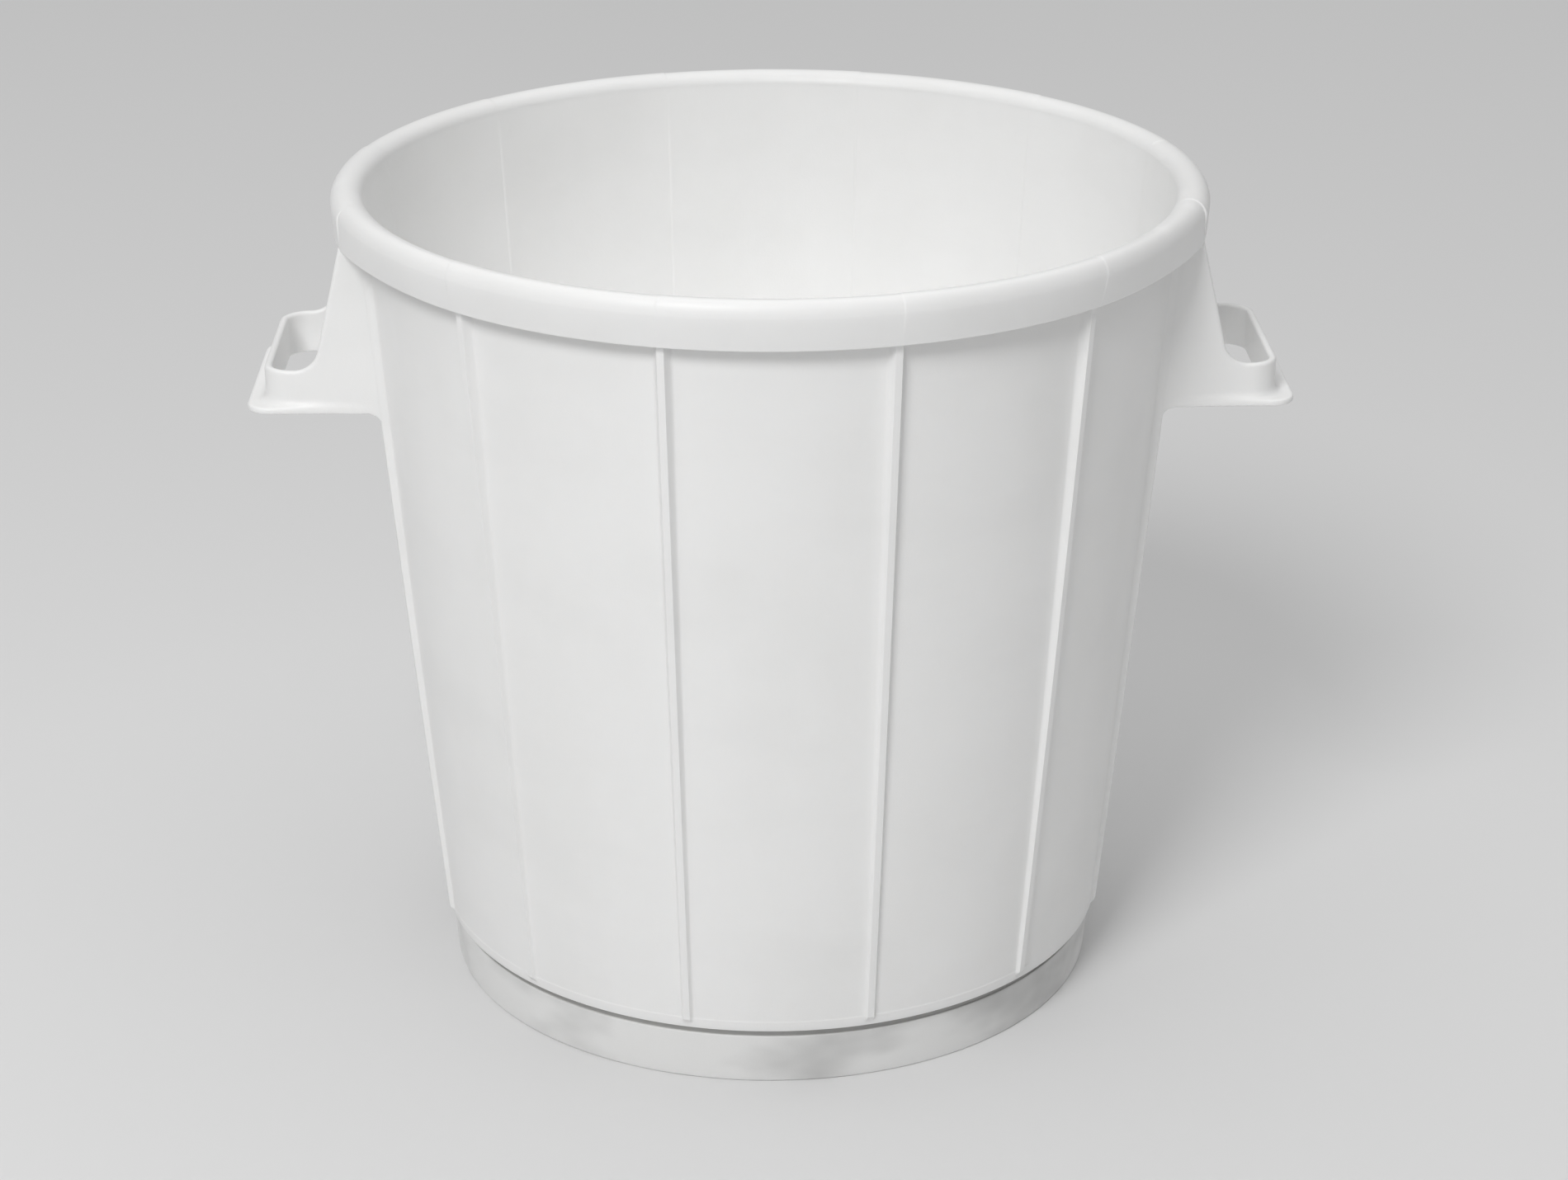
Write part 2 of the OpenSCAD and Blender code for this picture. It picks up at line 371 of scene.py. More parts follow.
def without_crumbs(tree, geometry, fewest):
    """Deletes every loose bit of a mesh that has fewer points than a number."""
    island = tree.nodes.new("GeometryNodeInputMeshIsland")
    counted = tree.nodes.new("GeometryNodeAccumulateField")
    counted.data_type = "FLOAT"
    next(s for s in counted.inputs if s.name == "Value" and s.type == "VALUE").default_value = 1.0
    tree.links.new(island.outputs["Island Index"], counted.inputs["Group ID"])
    total = next(s for s in counted.outputs if s.name == "Total" and s.type == "VALUE")
    deleted = tree.nodes.new("GeometryNodeDeleteGeometry")
    tree.links.new(geometry, deleted.inputs["Geometry"])
    tree.links.new(Field(tree, total).math("LESS_THAN", fewest).socket, deleted.inputs["Selection"])
    return deleted.outputs["Geometry"]


def grow(name, tree, values, seed_mesh):
    """Runs a tree on a mesh and returns its result as a plain object of that name."""
    carrier = new_object(name + "_seed", seed_mesh)
    modifier = carrier.modifiers.new("Grow", "NODES")
    modifier.node_group = tree
    for item in tree.interface.items_tree:
        if item.item_type == "SOCKET" and item.in_out == "INPUT" and item.name in values:
            modifier[item.identifier] = values[item.name]
    bpy.context.view_layer.update()
    evaluated = carrier.evaluated_get(bpy.context.evaluated_depsgraph_get())
    mesh = bpy.data.meshes.new_from_object(evaluated)
    mesh.name = name
    carrier.modifiers.remove(modifier)
    bpy.data.objects.remove(carrier)
    if not mesh.polygons:
        raise RuntimeError(f"the tree for {name} made no faces")
    return new_object(name, mesh)


# ---------------------------------------------------------------- materials

GRAIN_HEIGHT = 0.035 * MM
STREAK_HEIGHT = 0.03 * MM
SCUFF_HEIGHT = 0.02 * MM
# Span below and above the groove's foot over which the painted shade in the groove fades in.
PAINTED_SHADE_BELOW, PAINTED_SHADE_ABOVE = 0.5 * MM, 0.3 * MM


def texture(tree, kind, coordinates, scale, **inputs):
    """A texture node read at stretched object coordinates."""
    mapping = tree.nodes.new("ShaderNodeMapping")
    mapping.inputs["Scale"].default_value = scale
    tree.links.new(coordinates, mapping.inputs["Vector"])
    node = tree.nodes.new(kind)
    tree.links.new(mapping.outputs["Vector"], node.inputs["Vector"])
    for label, value in inputs.items():
        node.inputs[label.replace("_", " ")].default_value = value
    return node


def spread(tree, value, low, high, start, end):
    """Maps a stretch of a value to a smooth ramp between start and end."""
    node = tree.nodes.new("ShaderNodeMapRange")
    node.interpolation_type = "SMOOTHSTEP"
    tree.links.new(value, node.inputs["Value"])
    for label, number in (("From Min", low), ("From Max", high), ("To Min", start), ("To Max", end)):
        node.inputs[label].default_value = number
    return node.outputs["Result"]


def mixed(tree, factor, first, second):
    """Mixes two colours, each a socket or a plain colour."""
    node = tree.nodes.new("ShaderNodeMix")
    node.data_type = "RGBA"
    tree.links.new(factor, node.inputs["Factor"])
    for label, value in (("A", first), ("B", second)):
        place = next(s for s in node.inputs if s.name == label and s.type == "RGBA")
        if isinstance(value, bpy.types.NodeSocket):
            tree.links.new(value, place)
        else:
            place.default_value = (*value, 1.0)
    return next(s for s in node.outputs if s.type == "RGBA")


def summed(tree, first, second):
    node = tree.nodes.new("ShaderNodeMath")
    node.operation = "ADD"
    tree.links.new(first, node.inputs[0])
    tree.links.new(second, node.inputs[1])
    return node.outputs[0]


def moulded_plastic(name, finish, plastic, dull_share, blotch_share, painted_shade_from=None):
    """Semi-matt natural polyethylene: clouded, streaked up its height, with fine grain and scuffs."""
    material = bpy.data.materials.new(name)
    material.use_nodes = True
    tree = material.node_tree
    shader = tree.nodes["Principled BSDF"]
    where = tree.nodes.new("ShaderNodeTexCoord").outputs["Object"]

    cloud = texture(tree, "ShaderNodeTexNoise", where, (1, 1, 0.6), Scale=9.0, Detail=3.0, Roughness=0.55)
    dull = spread(tree, cloud.outputs["Fac"], 0.42, 0.72, 0.0, dull_share)
    base = mixed(tree, dull, plastic, finish.plastic_dull)
    # Dark blotches, which on the foot band are partly painted shade.
    blotches = texture(tree, "ShaderNodeTexNoise", where, (1, 1, 2.0), Scale=9.0, Detail=3.0, Roughness=0.5)
    blotch = spread(tree, blotches.outputs["Fac"], 0.42, 0.74, 0.0, blotch_share)
    tone = mixed(tree, blotch, base, finish.blotch)
    # Painted shade: the colour is darkened above a height, in the groove under the wall's overhang.
    if painted_shade_from is not None:
        level = tree.nodes.new("ShaderNodeSeparateXYZ")
        tree.links.new(where, level.inputs[0])
        painted_shade = spread(tree, level.outputs["Z"], painted_shade_from - PAINTED_SHADE_BELOW, painted_shade_from + PAINTED_SHADE_ABOVE,
                       0.0, finish.painted_shade_share)
        tone = mixed(tree, painted_shade, tone, finish.painted_shade)
    tree.links.new(tone, shader.inputs["Base Color"])

    streaks = texture(tree, "ShaderNodeTexNoise", where, (1, 1, 0.05), Scale=70.0, Detail=4.0, Roughness=0.6)
    scuffs = texture(tree, "ShaderNodeTexNoise", where, (1, 1, 0.4), Scale=34.0, Detail=6.0, Roughness=0.7)
    scuffed = spread(tree, scuffs.outputs["Fac"], 0.5, 0.7, 0.0, 1.0)
    polish = spread(tree, scuffed, 0.0, 1.0, finish.roughness, finish.scuff_roughness)
    tree.links.new(polish, shader.inputs["Roughness"])

    grain = texture(tree, "ShaderNodeTexNoise", where, (1, 1, 1), Scale=900.0, Detail=3.0, Roughness=0.5)
    grain_height = spread(tree, grain.outputs["Fac"], 0.25, 0.75, 0.0, GRAIN_HEIGHT)
    streak_height = spread(tree, streaks.outputs["Fac"], 0.3, 0.7, 0.0, STREAK_HEIGHT)
    scuff_height = spread(tree, scuffed, 0.0, 1.0, 0.0, SCUFF_HEIGHT)
    bump = tree.nodes.new("ShaderNodeBump")
    bump.inputs["Strength"].default_value = 0.6
    bump.inputs["Distance"].default_value = 1.0
    height = summed(tree, grain_height, summed(tree, streak_height, scuff_height))
    tree.links.new(height, bump.inputs["Height"])
    tree.links.new(bump.outputs["Normal"], shader.inputs["Normal"])

    shader.inputs["IOR"].default_value = 1.5
    shader.inputs["Specular IOR Level"].default_value = 0.4
    shader.inputs["Subsurface Weight"].default_value = finish.translucency
    shader.inputs["Subsurface Radius"].default_value = (1.0, 0.95, 0.9)
    shader.inputs["Subsurface Scale"].default_value = 3 * MM
    return material


def clean_plastic(finish):
    name = "Natural polyethylene"
    return bpy.data.materials.get(name) or moulded_plastic(name, finish, finish.plastic, 0.6, 0.05)


# The foot band's plastic: darker and heavily blotched, partly as painted shade, with painted shade in its
# groove.
def shaded_foot_plastic(finish, groove_foot):
    name = "Shaded and blotched polyethylene"
    return bpy.data.materials.get(name) or moulded_plastic(name, finish, finish.shaded_foot_plastic, 0.4, 0.85,
                                                           groove_foot)


# ---------------------------------------------------------------- wall

# Distances from a rib's middle, in millimetres, at which a stave has points
OVER_RIB = (0, 0.7, 1.3, 1.7, 2.0, 2.3, 2.6, 2.9, 3.2, 3.6, 4.0, 4.4, 4.8, 5.4, 6.2, 7.2, 8.4, 10, 12)
PANEL_POINTS, PANEL_CROWDING = 9, 1.3
# Heights over the base band, in millimetres, of the rows where the ribs set out
ROWS_OVER_BAND = (0.6, 2, 6)
FIRST_PANEL_ROW = 14 * MM
OUTSIDE_ROWS, INSIDE_ROWS, BAND_ROWS = 30, 32, 7
WALL_EDGE = 0.7 * MM
FLANK_CURVE, FILLET_CURVE = 1.7, 2
RIB_END_RISE = 0.93
JOINT_WIDTH = 0.5 * MM
JOINT_FADE_LOW, JOINT_FADE_HIGH = 60 * MM, 20 * MM
THINNEST_RIB = 1e-6


def stave_turns(wall, z):
    """Turns across one stave at a height: close together over the rib, wider out to the stave's edges."""
    half = math.pi / wall.rib_count
    near = np.array(OVER_RIB) * MM / wall_radius(wall, z)
    rest = near[-1] + (half - near[-1]) * np.linspace(0, 1, PANEL_POINTS)[1:] ** PANEL_CROWDING
    right = np.concatenate([near, rest])
    return np.concatenate([-right[:0:-1], right])


def rib_shape(wall, s, height):
    """Share of a rib's height at a distance s from its middle: crest, steep flank, long soft fillet."""
    off = np.maximum(s - wall.rib_crest / 2, 0) / height
    flank = np.clip(1 - off / wall.rib_flank, 0, 1)
    fillet = np.clip(1 - off / wall.rib_fillet, 0, 1)
    return (1 - wall.rib_softness) * flank ** FLANK_CURVE + wall.rib_softness * fillet ** FILLET_CURVE


def wall_outside(wall):
    """Rows of the wall's outer face from the bottom up, as (radius, height, carries a rib)."""
    low = WALL_LOW.z
    band_top = low + wall.band_height
    band_radius = wall_radius(wall, band_top) + wall.band_step
    edge = arc(wall_radius(wall, low) - WALL_EDGE, low + WALL_EDGE, WALL_EDGE, WALL_EDGE, -90, 0, 5)
    rows = [(r, z, False) for r, z in edge]
    for z in np.linspace(low + wall.band_height - wall.rib_end, band_top - 0.45 * MM, BAND_ROWS):
        rows.append((wall_radius(wall, z) + wall.band_step, z, True))
    rows.append((band_radius - 0.1 * MM, band_top - 0.15 * MM, True))
    rows.append((wall_radius(wall, band_top) + 0.05 * MM, band_top + 0.1 * MM, True))
    first_rows = band_top + np.array(ROWS_OVER_BAND) * MM
    panel_rows = np.linspace(band_top + FIRST_PANEL_ROW, WALL_HIGH.z, OUTSIDE_ROWS)
    for z in np.concatenate([first_rows, panel_rows]):
        rows.append((wall_radius(wall, z), z, True))
    return rows


def wall_inside(wall):
    """Rows of the wall's inner face from the top down, round the floor's corner and out to the flange."""
    floor_top = FLOOR_HIGH.z
    corner = wall.floor_corner
    corner_z = floor_top + corner
    heights = np.linspace(WALL_HIGH.z, corner_z, INSIDE_ROWS)
    rows = [(wall_radius(wall, z) - wall.thickness, z) for z in heights]
    inner = rows[-1][0]
    rows += arc(inner - corner, corner_z, corner, corner, 0, -90, 9)[1:]
    return rows + [(FLOOR_HIGH.x, floor_top)]


def stave_mesh(wall):
    """One stave: a rib with half a panel on each side, inside and outside, open at its two edges."""
    band_top = WALL_LOW.z + wall.band_height
    end_low = band_top - wall.rib_end
    rows = []
    for radius, z, ribbed in wall_outside(wall):
        turns = stave_turns(wall, z)
        radii = np.full(len(turns), radius)
        if ribbed:
            crest = rib_crest_radius(wall, max(z, band_top))
            rise = np.clip((z - end_low) / (wall.rib_end * RIB_END_RISE), 0, 1)
            height = max((crest - radius) * rise, 0.0)
            full = max(crest - wall_radius(wall, max(z, band_top)), THINNEST_RIB)
            radii = radius + height * rib_shape(wall, np.abs(turns) * radius, full)
        rows.append(round_the_axis(radii, turns, z))
    sharp = JOINT_WIDTH / wall.top_radius
    for radius, z in wall_inside(wall):
        turns = stave_turns(wall, z)
        fade = (np.clip((z - FLOOR_HIGH.z) / JOINT_FADE_LOW, 0, 1)
                * np.clip((WALL_HIGH.z - z) / JOINT_FADE_HIGH, 0, 1))
        step = fading_step(turns, 2 * math.pi / wall.rib_count, wall.joint_step * fade, sharp)
        rows.append(round_the_axis(radius + step, turns, z))
    turns = stave_turns(wall, WALL_LOW.z)
    rows.append(round_the_axis(FLOOR_HIGH.x, turns, WALL_LOW.z))
    points = np.stack(rows, axis=1)
    return new_mesh("stave", *sheet_of_quads(points, False))


def ring_of_staves():
    """Node tree that sets a stave round the axis a number of times."""
    tree, given, result = new_tree("Ring of staves", (
        ("Geometry", "NodeSocketGeometry"), ("Count", "NodeSocketInt"),
        ("First turn", "NodeSocketFloat"), ("Material", "NodeSocketMaterial")))
    points = tree.nodes.new("GeometryNodePoints")
    tree.links.new(given.outputs["Count"], points.inputs["Count"])
    index = Field(tree, tree.nodes.new("GeometryNodeInputIndex").outputs[0])
    count = Field(tree, given.outputs["Count"])
    turn = index / count * (2 * math.pi) + Field(tree, given.outputs["First turn"])
    euler = tree.nodes.new("ShaderNodeCombineXYZ")
    tree.links.new(turn.socket, euler.inputs["Z"])
    rotation = tree.nodes.new("FunctionNodeEulerToRotation")
    tree.links.new(euler.outputs[0], rotation.inputs[0])
    placed = tree.nodes.new("GeometryNodeInstanceOnPoints")
    tree.links.new(points.outputs[0], placed.inputs["Points"])
    tree.links.new(given.outputs["Geometry"], placed.inputs["Instance"])
    tree.links.new(rotation.outputs[0], placed.inputs["Rotation"])
    finish_tree(tree, given, result, placed.outputs["Instances"])
    return tree


class TUB_OT_wall(bpy.types.Operator):
    """Build the ribbed wall"""
    bl_idname = "tub.wall"
    bl_label = "Ribbed wall"

    def execute(self, context):
        wall = context.scene.tub_wall
        material = clean_plastic(context.scene.tub_finish)
        values = {"Count": wall.rib_count, "First turn": math.pi / wall.rib_count, "Material": material}
        piece = grow("ribbed_wall", ring_of_staves(), values, stave_mesh(wall))
        smooth_below_sharp(piece.data)
        hand_over(piece, material, "wall_shell")
        return {"FINISHED"}


# ---------------------------------------------------------------- floor and foot

FLOOR_STEPS, FOOT_STEPS = 96, 240
# Shares of the floor's radius at which a shallow ring runs, and that ring's section in millimetres
FLOOR_RINGS = (0.86, 0.55, 0.24)
RING_SECTION = ((2.4, 0), (1.2, 0.5), (0, 0.7), (-1.2, 0.5), (-2.4, 0))
DIMPLE_RADIUS, DIMPLE_SLOPE, DIMPLE_DEPTH = 4 * MM, 0.8 * MM, 0.4 * MM
HUB_RADIUS = 0.02 * MM
FOOT_TOP_EDGE = 0.8 * MM
FOOT_SWELL = 0.25 * MM
GROOVE_SLOPE = 0.02 * MM


def revolved(name, section, steps):
    """A closed section turned once round the axis."""
    turns = np.linspace(0, 2 * math.pi, steps, endpoint=False)
    radius, height = np.array(section).T
    points = round_the_axis(radius[None, :], turns[:, None], height[None, :])
    return new_object(name, new_mesh(name, *sheet_of_quads(points, True)))


class TUB_OT_floor(bpy.types.Operator):
    """Build the floor, with its shallow rings and the dimple where the mould was filled"""
    bl_idname = "tub.floor"
    bl_label = "Floor"

    def execute(self, context):
        material = clean_plastic(context.scene.tub_finish)
        low, high, radius = FLOOR_LOW.z, FLOOR_HIGH.z, FLOOR_HIGH.x
        section = [(radius, low), (radius, high)]
        for ring in FLOOR_RINGS:
            section += [(ring * radius + across * MM, high - drop * MM) for across, drop in RING_SECTION]
        section += [(DIMPLE_RADIUS, high), (DIMPLE_RADIUS - DIMPLE_SLOPE, high - DIMPLE_DEPTH),
                    (HUB_RADIUS, high - DIMPLE_DEPTH), (HUB_RADIUS, low)]
        piece = revolved("floor", section, FLOOR_STEPS)
        smooth_below_sharp(piece.data)
        hand_over(piece, material, "floor_plate")
        return {"FINISHED"}


class TUB_OT_foot(bpy.types.Operator):
    """Build the foot band and the groove under the wall"""
    bl_idname = "tub.foot"
    bl_label = "Foot band"

    def execute(self, context):
        foot = context.scene.tub_foot
        edge = foot.edge_radius
        ground = foot.top_radius - foot.taper
        groove = foot.top_radius - foot.groove_depth
        inner = ground - foot.thickness
        section = arc(ground - edge, edge, edge, edge, -90, 0, 6)
        for t in np.linspace(0.12, 0.94, 8):
            swell = FOOT_SWELL * math.sin(math.pi * t)
            section.append((ground + foot.taper * t + swell, foot.band_height * t))
        section += arc(foot.top_radius - FOOT_TOP_EDGE, foot.band_height - FOOT_TOP_EDGE,
                       FOOT_TOP_EDGE, FOOT_TOP_EDGE, 0, 90, 5)
        section += [(groove, foot.band_height - GROOVE_SLOPE), (groove, FOOT_HIGH.z)]
        section += [(groove - foot.thickness, FOOT_HIGH.z), (groove - foot.thickness, foot.band_height)]
        section += [(inner, edge)] + arc(inner + edge, edge, edge, edge, 180, 270, 5)[1:]
        piece = revolved("foot_band", section, FOOT_STEPS)
        smooth_below_sharp(piece.data)
        # The foot band's material carries painted shade: a darker, blotched band and a darkened groove.
        material = shaded_foot_plastic(context.scene.tub_finish, foot.band_height)
        hand_over(piece, material, "foot_ring")
        return {"FINISHED"}


# ---------------------------------------------------------------- rim

RIM_STEPS = 480
# Turns on each side of a mould line, in degrees, at which the rim has extra points
NEAR_LINE = (-0.5, -0.2, -0.08, 0.0, 0.08, 0.2, 0.5)
STEP_WIDTH = math.radians(0.1)
SKIRT_BULGE = 0.35


def rim_turns(count):
    """Turns round the rim, with extra ones at each mould line."""
    even = np.linspace(0, 2 * math.pi, RIM_STEPS, endpoint=False)
    lines = (np.arange(count) + 0.5) * 2 * math.pi / count
    close = np.radians(NEAR_LINE)
    return np.unique(np.round(np.concatenate([even, (lines[:, None] + close[None, :]).ravel()]), 6))


def rim_flare(rim, turn, half):
    """Shares of the rim's swelling and of its step at a turn: full over the handles, none in front."""
    off = np.abs((turn + math.pi) % math.pi - math.pi / 2)
    t = np.clip((half + rim.flare_reach - off) / rim.flare_reach, 0, 1)
    over_handle = np.clip((half - off) / STEP_WIDTH + 0.5, 0, 1)
    return t * t * (3 - 2 * t) * t, over_handle


def rim_section(rim, wall, turn, half):
    """The rim's closed section at a turn: skirt, shoulder, crown, inner shoulder, hollow behind."""
    flare, over_handle = rim_flare(rim, turn, half)
    line = fading_step(turn - half, 2 * half, rim.joint_step, STEP_WIDTH)
    top, low = RIM_HIGH.z - rim.joint_step + line, RIM_LOW.z + rim.flare_lift * flare
    skirt = rim.skirt_radius + rim.flare_low * flare
    shoulder = rim.shoulder_radius + rim.flare_high * flare + rim.flare_step * over_handle + line
    widest = RIM_HIGH.z - rim.shoulder_drop
    seat = WALL_HIGH.z
    inner = wall_radius(wall, seat) - wall.thickness
    edge = rim.edge_radius
    skirt_in = skirt - rim.skirt_thickness
    section = [(skirt_in + 0.3 * MM, low)] + arc(skirt - edge, low + edge, edge, edge, -90, 0, 5)
    for t in (0.2, 0.4, 0.6, 0.8):
        outwards = t + SKIRT_BULGE * t * (1 - t)
        section.append((skirt + (shoulder - skirt) * outwards, low + edge + (widest - low - edge) * t))
    section += arc(rim.crown_radius, widest, shoulder - rim.crown_radius, top - widest, 0, 90, 13)
    section += arc(rim.crown_radius, seat, rim.crown_radius - inner, top - seat, 90, 180, 12)[1:]
    section += [(inner + wall.thickness, seat), (inner + wall.thickness + 0.8 * MM, seat + 3 * MM)]
    hollow_in = inner + wall.thickness + 3 * MM
    hollow_out = shoulder - rim.skirt_thickness - 0.4 * MM
    section += [(hollow_in, top - 4 * MM), (hollow_out - 3 * MM, top - 4.6 * MM), (hollow_out, widest)]
    return section + [(skirt_in, low + 0.4 * MM)]


class TUB_OT_rim(bpy.types.Operator):
    """Build the rolled rim, which swells over each handle"""
    bl_idname = "tub.rim"
    bl_label = "Rolled rim"

    def execute(self, context):
        rim, wall = context.scene.tub_rim, context.scene.tub_wall
        half = math.pi / wall.rib_count
        turns = rim_turns(wall.rib_count)
        sections = np.array([rim_section(rim, wall, turn, half) for turn in turns])
        points = round_the_axis(sections[..., 0], turns[:, None], sections[..., 1])
        piece = new_object("rolled_rim", new_mesh("rolled_rim", *sheet_of_quads(points, True)))
        smooth_below_sharp(piece.data)
        hand_over(piece, clean_plastic(context.scene.tub_finish), "rim_collar")
        return {"FINISHED"}


# ---------------------------------------------------------------- handles

LIP_EDGE = 1.3 * MM
RIB_FROM = 30 * MM
LET_INTO_RIB, LET_INTO_WALL, LET_INTO_RIM = 0.7 * MM, 1.2 * MM, 3 * MM
CUT_BELOW_SEAT, CUT_BELOW_LOOP = 4 * MM, 20 * MM
FEWEST_POINTS = 500.0
FAR_OUTSIDE = -5.0
BOX_MARGIN, BOX_INNER_X, BOX_DROP, BOX_SIDE = 3 * MM, 222 * MM, 12 * MM, 4 * MM


def handle_tree(handle, wall, rim):
    """Node tree that fills a box with the distance to a handle's surface and draws the surface from it."""
    tree, given, result = new_tree("Loop handle", (
        ("Side", "NodeSocketFloat"), ("Low corner", "NodeSocketVector"),
        ("High corner", "NodeSocketVector"), ("Grain", "NodeSocketFloat"),
        ("Material", "NodeSocketMaterial")))
    place = tree.nodes.new("ShaderNodeSeparateXYZ")
    tree.links.new(tree.nodes.new("GeometryNodeInputPosition").outputs[0], place.inputs[0])
    x = Field(tree, place.outputs["X"]) * Field(tree, given.outputs["Side"])
    y = Field(tree, place.outputs["Y"]).size()
    z = Field(tree, place.outputs["Z"])
    radius = hypotenuse(x, y)

    foot_z = LOOP_FOOT
    top_z = foot_z + handle.loop_height
    t = handle.thickness

    # The loop in plan: two cheeks that toe in, and the grip across their ends
    spread_out = (-x + handle.grip_reach) * handle.toe + (z - foot_z) * handle.draft
    side = (y - handle.half_width - spread_out) * math.cos(math.atan(handle.toe))
    outline = both(side, x - handle.grip_reach, handle.corner_radius)
    plate = (outline + t / 2).size() - t / 2

    # The upper edge: level over the loop, then up the gusset to the rim
    lean = (handle.gusset_foot - handle.gusset_top) / (RIM_LOW.z - top_z)
    gusset = (x - handle.gusset_foot + (z - top_z) * lean) * math.cos(math.atan(lean))
    above = either(z - top_z, gusset, handle.gusset_fillet)
    loop = both(plate, above, handle.top_edge)

    # The lip, with a fillet on the loop's outer side only
    lip_side = y - handle.lip_half_width + (-x + HANDLE_HIGH.x) * handle.lip_taper
    lip_outline = both(lip_side, x - HANDLE_HIGH.x, handle.lip_corner)
    lip = both(lip_outline, z - foot_z - handle.lip_thickness, LIP_EDGE).most(-(outline + t / 2))
    outside = ((outline + t / 2) / (t / 2)).most(0.02).least(1.0) * handle.lip_fillet
    joined = either(loop, lip, outside)

    # The underside, with an armpit that runs down onto the rib
    half = math.pi / wall.rib_count
    low_z = foot_z - RIB_FROM
    low_r, high_r = rib_crest_radius(wall, low_z), rib_crest_radius(wall, top_z)
    rib_slope = (high_r - low_r) / (top_z - low_z) * math.cos(half)
    rib = x - low_r * math.cos(half) - (z - low_z) * rib_slope + LET_INTO_RIB
    underside = either(-z + foot_z, rib, handle.armpit_fillet)
    solid = both(joined, underside, handle.foot_edge)

    # Cut off inside the wall and inside the rim
    wall_slope = (wall.top_radius - wall.foot_radius) / (RIM_LOW.z - WALL_LOW.z)
    in_wall = (z - WALL_LOW.z) * wall_slope + (wall.foot_radius - LET_INTO_WALL) - radius
    past_skirt = radius - rim.skirt_radius - rim.flare_low + rim.skirt_thickness / 2
    in_rim = (z - RIM_LOW.z - LET_INTO_RIM).least(past_skirt)
    solid = solid.most(in_wall).most(in_rim)
    solid = solid.most(z - WALL_HIGH.z + CUT_BELOW_SEAT).most(-z + foot_z - CUT_BELOW_LOOP)

    cube = tree.nodes.new("GeometryNodeVolumeCube")
    low = tree.nodes.new("ShaderNodeSeparateXYZ")
    high = tree.nodes.new("ShaderNodeSeparateXYZ")
    for corner, ends, label in (("Low corner", low, "Min"), ("High corner", high, "Max")):
        tree.links.new(given.outputs[corner], ends.inputs[0])
        tree.links.new(given.outputs[corner], cube.inputs[label])
    for axis in "XYZ":
        span = Field(tree, high.outputs[axis]) - Field(tree, low.outputs[axis])
        points = span / Field(tree, given.outputs["Grain"])
        tree.links.new(points.socket, cube.inputs["Resolution " + axis])
    tree.links.new((solid * (-1.0 / MM)).socket, cube.inputs["Density"])
    cube.inputs["Background"].default_value = FAR_OUTSIDE
    skin = tree.nodes.new("GeometryNodeVolumeToMesh")
    skin.inputs["Threshold"].default_value = 0.0
    tree.links.new(cube.outputs["Volume"], skin.inputs["Volume"])
    finish_tree(tree, given, result, without_crumbs(tree, skin.outputs["Mesh"], FEWEST_POINTS))
    return tree


class TUB_OT_handles(bpy.types.Operator):
    """Build the two loop handles"""
    bl_idname = "tub.handles"
    bl_label = "Loop handles"

    def execute(self, context):
        handle, wall, rim = context.scene.tub_handle, context.scene.tub_wall, context.scene.tub_rim
        material = clean_plastic(context.scene.tub_finish)
        tree = handle_tree(handle, wall, rim)
        half_y = HANDLE_HIGH.y + BOX_MARGIN + BOX_SIDE
        low_z, high_z = HANDLE_LOW.z - BOX_DROP, WALL_HIGH.z + BOX_MARGIN
        for name, node, side in (("loop_handle_left", "handle_left", -1.0),
                                 ("loop_handle_right", "handle_right", 1.0)):
            ends = sorted((side * BOX_INNER_X, side * (HANDLE_HIGH.x + BOX_MARGIN)))
            values = {"Side": side, "Low corner": (ends[0], -half_y, low_z),
                      "High corner": (ends[1], half_y, high_z), "Grain": handle.grain, "Material": material}
            piece = grow(name, tree, values, bpy.data.meshes.new(name + "_seed"))
            hand_over(piece, material, node)
        return {"FINISHED"}


# ---------------------------------------------------------------- stage

KEY_PLACE, KEY_AIM, KEY_SIZE = (-1.6, -3.7, 4.0), (0, 0, 0.3), 1.8
TOP_DIRECTION, TOP_SPREAD = (0.1, 0.35, 2.0), math.radians(80)
INSIDE_PLACE, INSIDE_CONE = (0, 0, 1.3), math.radians(30)
STUDIO_REACH = 14.0


def hang(name, light, place, along=None, axis="-Z"):
    """Puts a light in the scene, turned so that one of its axes points along a direction."""
    made = bpy.data.objects.new(name, light)
    bpy.context.scene.collection.objects.link(made)
    made.location = place
    if along is not None:
        made.rotation_mode = "QUATERNION"
        made.rotation_quaternion = Vector(along).to_track_quat(axis, "Y")


def area_light(name, place, aim, size, power):
    """A round soft light that points at a place."""
    light = bpy.data.lights.new(name, "AREA")
    light.shape = "DISK"
    light.size = size
    light.energy = power
    hang(name, light, place, Vector(aim) - Vector(place))


def sky_light(name, direction, spread_angle, strength):
    """A broad light that is the same everywhere, like a ceiling of diffusers."""
    light = bpy.data.lights.new(name, "SUN")
    light.angle = spread_angle
    light.energy = strength
    hang(name, light, direction, direction, "Z")


def snoot_light(name, place, cone, power):
    """A narrow light from straight above that shines through the tub's mouth and misses the rim."""
    light = bpy.data.lights.new(name, "SPOT")
    light.spot_size = cone
    light.spot_blend = 0.4
    light.shadow_soft_size = 0.02
    light.energy = power
    hang(name, light, place)


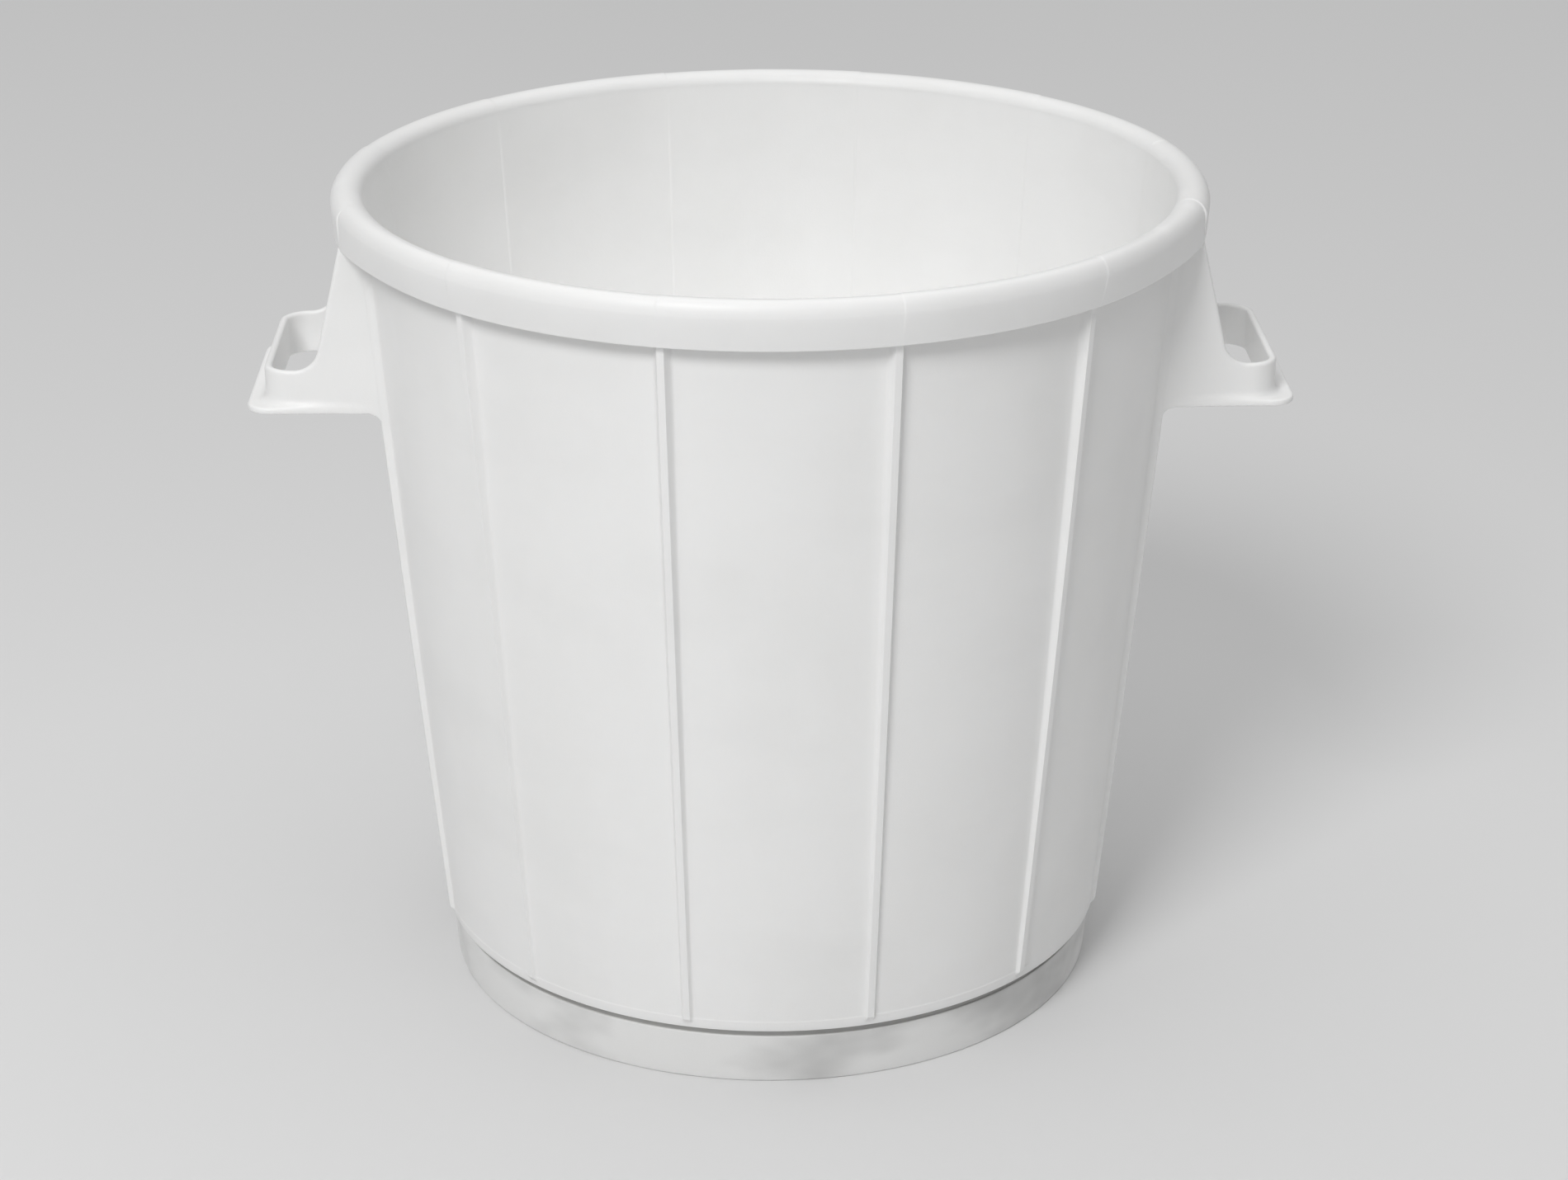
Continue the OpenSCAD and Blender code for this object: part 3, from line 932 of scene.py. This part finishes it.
def studio_camera(stage):
    camera = bpy.data.objects.new("Camera", bpy.data.cameras.new("Camera"))
    bpy.context.scene.collection.objects.link(camera)
    camera.data.sensor_width = 36
    camera.data.lens = stage.lens
    level = stage.distance * math.cos(stage.pitch)
    camera.location = (level * math.sin(stage.turn), -level * math.cos(stage.turn),
                       stage.aim_height + stage.distance * math.sin(stage.pitch))
    ahead = (Vector((0, 0, stage.aim_height)) - camera.location).normalized()
    right = Vector((math.cos(stage.turn), math.sin(stage.turn), 0))
    aim = ahead * math.cos(stage.pan) + right * math.sin(stage.pan)
    camera.rotation_mode = "QUATERNION"
    camera.rotation_quaternion = aim.to_track_quat("-Z", "Y")
    bpy.context.scene.camera = camera


def studio_floor(stage):
    mesh = bpy.data.meshes.new("studio_floor")
    reach = STUDIO_REACH
    corners = [(-reach, -reach, 0), (reach, -reach, 0), (reach, reach, 0), (-reach, reach, 0)]
    mesh.from_pydata(corners, [], [(0, 1, 2, 3)])
    floor = new_object("studio_floor", mesh)
    material = bpy.data.materials.new("Studio floor")
    material.use_nodes = True
    shader = material.node_tree.nodes["Principled BSDF"]
    shader.inputs["Base Color"].default_value = (*stage.floor_colour, 1)
    shader.inputs["Roughness"].default_value = 0.85
    mesh.materials.append(material)


class TUB_OT_stage(bpy.types.Operator):
    """Set up the camera, the floor and the soft studio lights"""
    bl_idname = "tub.stage"
    bl_label = "Stage"

    def execute(self, context):
        stage = context.scene.tub_stage
        studio_camera(stage)
        studio_floor(stage)
        area_light("Key", KEY_PLACE, KEY_AIM, KEY_SIZE, stage.key_power)
        sky_light("Top", TOP_DIRECTION, TOP_SPREAD, stage.top_strength)
        snoot_light("Inside", INSIDE_PLACE, INSIDE_CONE, stage.inside_power)
        world = bpy.data.worlds.new("Studio")
        world.use_nodes = True
        sky = world.node_tree.nodes["Background"]
        sky.inputs["Color"].default_value = (1, 1, 1, 1)
        sky.inputs["Strength"].default_value = stage.world_strength
        context.scene.world = world
        context.scene.view_settings.view_transform = "Standard"
        return {"FINISHED"}


# ---------------------------------------------------------------- panel and registration

BUILDERS = (TUB_OT_stage, TUB_OT_wall, TUB_OT_floor, TUB_OT_foot, TUB_OT_rim, TUB_OT_handles)


class TUB_PT_sidebar(bpy.types.Panel):
    """Lists the pieces of the tub and their sizes"""
    bl_idname = "TUB_PT_sidebar"
    bl_label = "Ribbed Round Tub"
    bl_space_type = "VIEW_3D"
    bl_region_type = "UI"
    bl_category = "Tub"

    def draw(self, context):
        for builder in BUILDERS:
            self.layout.operator(builder.bl_idname)
        for pointer, group in SETTINGS.items():
            box = self.layout.box()
            settings = getattr(context.scene, pointer)
            for label in group.__annotations__:
                box.prop(settings, label)


def register():
    for group in SETTINGS.values():
        bpy.utils.register_class(group)
    for pointer, group in SETTINGS.items():
        setattr(bpy.types.Scene, pointer, PointerProperty(type=group))
    for builder in BUILDERS:
        bpy.utils.register_class(builder)
    bpy.utils.register_class(TUB_PT_sidebar)


def unregister():
    bpy.utils.unregister_class(TUB_PT_sidebar)
    for builder in reversed(BUILDERS):
        bpy.utils.unregister_class(builder)
    for pointer in SETTINGS:
        delattr(bpy.types.Scene, pointer)
    for group in reversed(list(SETTINGS.values())):
        bpy.utils.unregister_class(group)


def main():
    register()
    bpy.ops.tub.stage()
    bpy.ops.tub.wall()
    bpy.ops.tub.floor()
    bpy.ops.tub.foot()
    bpy.ops.tub.rim()
    bpy.ops.tub.handles()


if __name__ == "__main__":
    main()
